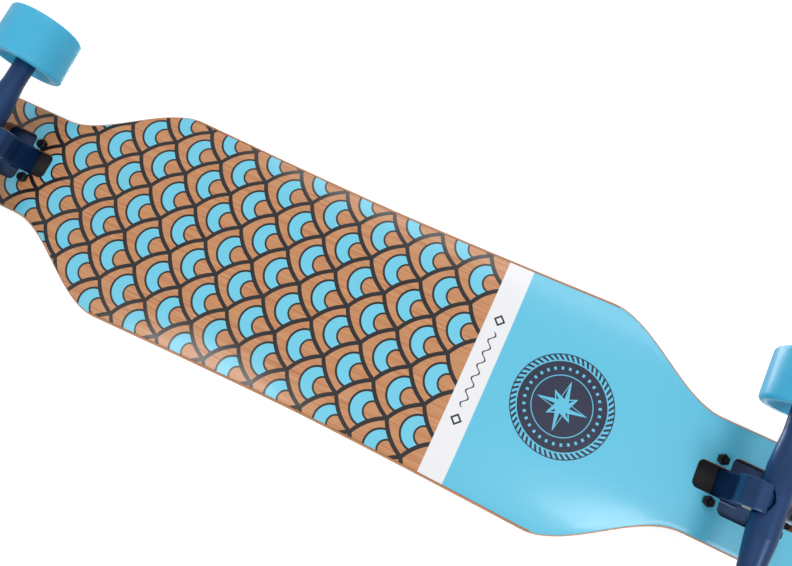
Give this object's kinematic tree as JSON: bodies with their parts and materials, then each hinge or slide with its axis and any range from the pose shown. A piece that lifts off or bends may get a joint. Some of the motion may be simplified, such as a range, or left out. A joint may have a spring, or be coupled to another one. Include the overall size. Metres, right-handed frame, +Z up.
{
  "type": "skateboard",
  "caption": "Symmetrical drop-through longboard with a concave plywood deck, two spring-returned reverse-kingpin trucks and four wheels on ball bearings",
  "frame": {"origin": "on the ground, centred under the board", "axes": "+X along the deck towards the painted end, +Y to the left side, +Z up"},
  "size_m": [1.04, 0.264, 0.106],
  "materials": {
    "deck_wood": "clear-lacquered bamboo with a printed pattern",
    "grip": "black grit paper",
    "truck_paint": "satin deep blue paint on cast aluminium",
    "black_rubber": "matte black rubber",
    "zinc_steel": "zinc-plated steel",
    "black_steel": "black oxide steel",
    "bushing_urethane": "cream urethane",
    "bearing_steel": "polished bearing steel",
    "wheel_urethane": "sky-blue cast urethane",
    "core_plastic": "white moulded core",
    "cage_brass": "pressed brass"
  },
  "bodies": {
    "root": {"deck": "deck_wood", "grip_tape": "grip", "front_baseplate": "truck_paint", "front_riser_pad": "black_rubber", "front_pivot_cup": "black_rubber", "front_kingpin": "zinc_steel", "front_kingpin_nut": "black_steel", "front_kingpin_washers": "zinc_steel", "front_boardside_bushing": "bushing_urethane", "front_roadside_bushing": "bushing_urethane", "front_mounting_bolts": "black_steel", "front_mounting_nuts": "black_steel", "rear_baseplate": "truck_paint", "rear_riser_pad": "black_rubber", "rear_pivot_cup": "black_rubber", "rear_kingpin": "zinc_steel", "rear_kingpin_nut": "black_steel", "rear_kingpin_washers": "zinc_steel", "rear_boardside_bushing": "bushing_urethane", "rear_roadside_bushing": "bushing_urethane", "rear_mounting_bolts": "black_steel", "rear_mounting_nuts": "black_steel"},
    "front_steering": {"front_hanger": "truck_paint", "front_axle": "zinc_steel", "front_bearing_inner_races": "bearing_steel", "front_bearing_spacers": "zinc_steel", "front_speed_washers": "zinc_steel", "front_axle_nuts": "black_steel"},
    "rear_steering": {"rear_hanger": "truck_paint", "rear_axle": "zinc_steel", "rear_bearing_inner_races": "bearing_steel", "rear_bearing_spacers": "zinc_steel", "rear_speed_washers": "zinc_steel", "rear_axle_nuts": "black_steel"},
    "front_left_wheel": {"front_left_tyre": "wheel_urethane", "front_left_core": "core_plastic", "front_left_outer_races": "bearing_steel", "front_left_shields": "black_rubber"},
    "front_right_wheel": {"front_right_tyre": "wheel_urethane", "front_right_core": "core_plastic", "front_right_outer_races": "bearing_steel", "front_right_shields": "black_rubber"},
    "rear_left_wheel": {"rear_left_tyre": "wheel_urethane", "rear_left_core": "core_plastic", "rear_left_outer_races": "bearing_steel", "rear_left_shields": "black_rubber"},
    "rear_right_wheel": {"rear_right_tyre": "wheel_urethane", "rear_right_core": "core_plastic", "rear_right_outer_races": "bearing_steel", "rear_right_shields": "black_rubber"},
    "front_left_ball_sets": {"front_left_balls": "bearing_steel", "front_left_cages": "cage_brass"},
    "front_right_ball_sets": {"front_right_balls": "bearing_steel", "front_right_cages": "cage_brass"},
    "rear_left_ball_sets": {"rear_left_balls": "bearing_steel", "rear_left_cages": "cage_brass"},
    "rear_right_ball_sets": {"rear_right_balls": "bearing_steel", "rear_right_cages": "cage_brass"}
  },
  "joints": [
    {"name": "front_steer", "type": "hinge", "parent": "root", "child": "front_steering", "pos_m": [0.39415, 0, 0.03288], "axis": [0.7071, 0, 0.7071], "range_deg": [-20, 20], "stiffness_Nm_per_rad": 20, "deforming": ["front_boardside_bushing", "front_roadside_bushing"]},
    {"name": "rear_steer", "type": "hinge", "parent": "root", "child": "rear_steering", "pos_m": [-0.39415, 0, 0.03288], "axis": [-0.7071, 0, 0.7071], "range_deg": [-20, 20], "stiffness_Nm_per_rad": 20, "deforming": ["rear_boardside_bushing", "rear_roadside_bushing"]},
    {"name": "front_left_spin", "type": "hinge", "parent": "front_steering", "child": "front_left_wheel", "pos_m": [0.409, 0.1065, 0.035], "axis": [0, 1, 0], "continuous": true},
    {"name": "front_right_spin", "type": "hinge", "parent": "front_steering", "child": "front_right_wheel", "pos_m": [0.409, -0.1065, 0.035], "axis": [0, 1, 0], "continuous": true},
    {"name": "rear_left_spin", "type": "hinge", "parent": "rear_steering", "child": "rear_left_wheel", "pos_m": [-0.409, 0.1065, 0.035], "axis": [0, 1, 0], "continuous": true},
    {"name": "rear_right_spin", "type": "hinge", "parent": "rear_steering", "child": "rear_right_wheel", "pos_m": [-0.409, -0.1065, 0.035], "axis": [0, 1, 0], "continuous": true},
    {"name": "front_left_ball_spin", "type": "hinge", "parent": "front_steering", "child": "front_left_ball_sets", "pos_m": [0.409, 0.103, 0.035], "axis": [0, 1, 0], "continuous": true},
    {"name": "front_right_ball_spin", "type": "hinge", "parent": "front_steering", "child": "front_right_ball_sets", "pos_m": [0.409, -0.103, 0.035], "axis": [0, 1, 0], "continuous": true},
    {"name": "rear_left_ball_spin", "type": "hinge", "parent": "rear_steering", "child": "rear_left_ball_sets", "pos_m": [-0.409, 0.103, 0.035], "axis": [0, 1, 0], "continuous": true},
    {"name": "rear_right_ball_spin", "type": "hinge", "parent": "rear_steering", "child": "rear_right_ball_sets", "pos_m": [-0.409, -0.103, 0.035], "axis": [0, 1, 0], "continuous": true}
  ],
  "couplings": [
    {"joint": "front_left_ball_spin", "follows": "front_left_spin", "ratio": 0.6323},
    {"joint": "front_right_ball_spin", "follows": "front_right_spin", "ratio": 0.6323},
    {"joint": "rear_left_ball_spin", "follows": "rear_left_spin", "ratio": 0.6323},
    {"joint": "rear_right_ball_spin", "follows": "rear_right_spin", "ratio": 0.6323}
  ]
}
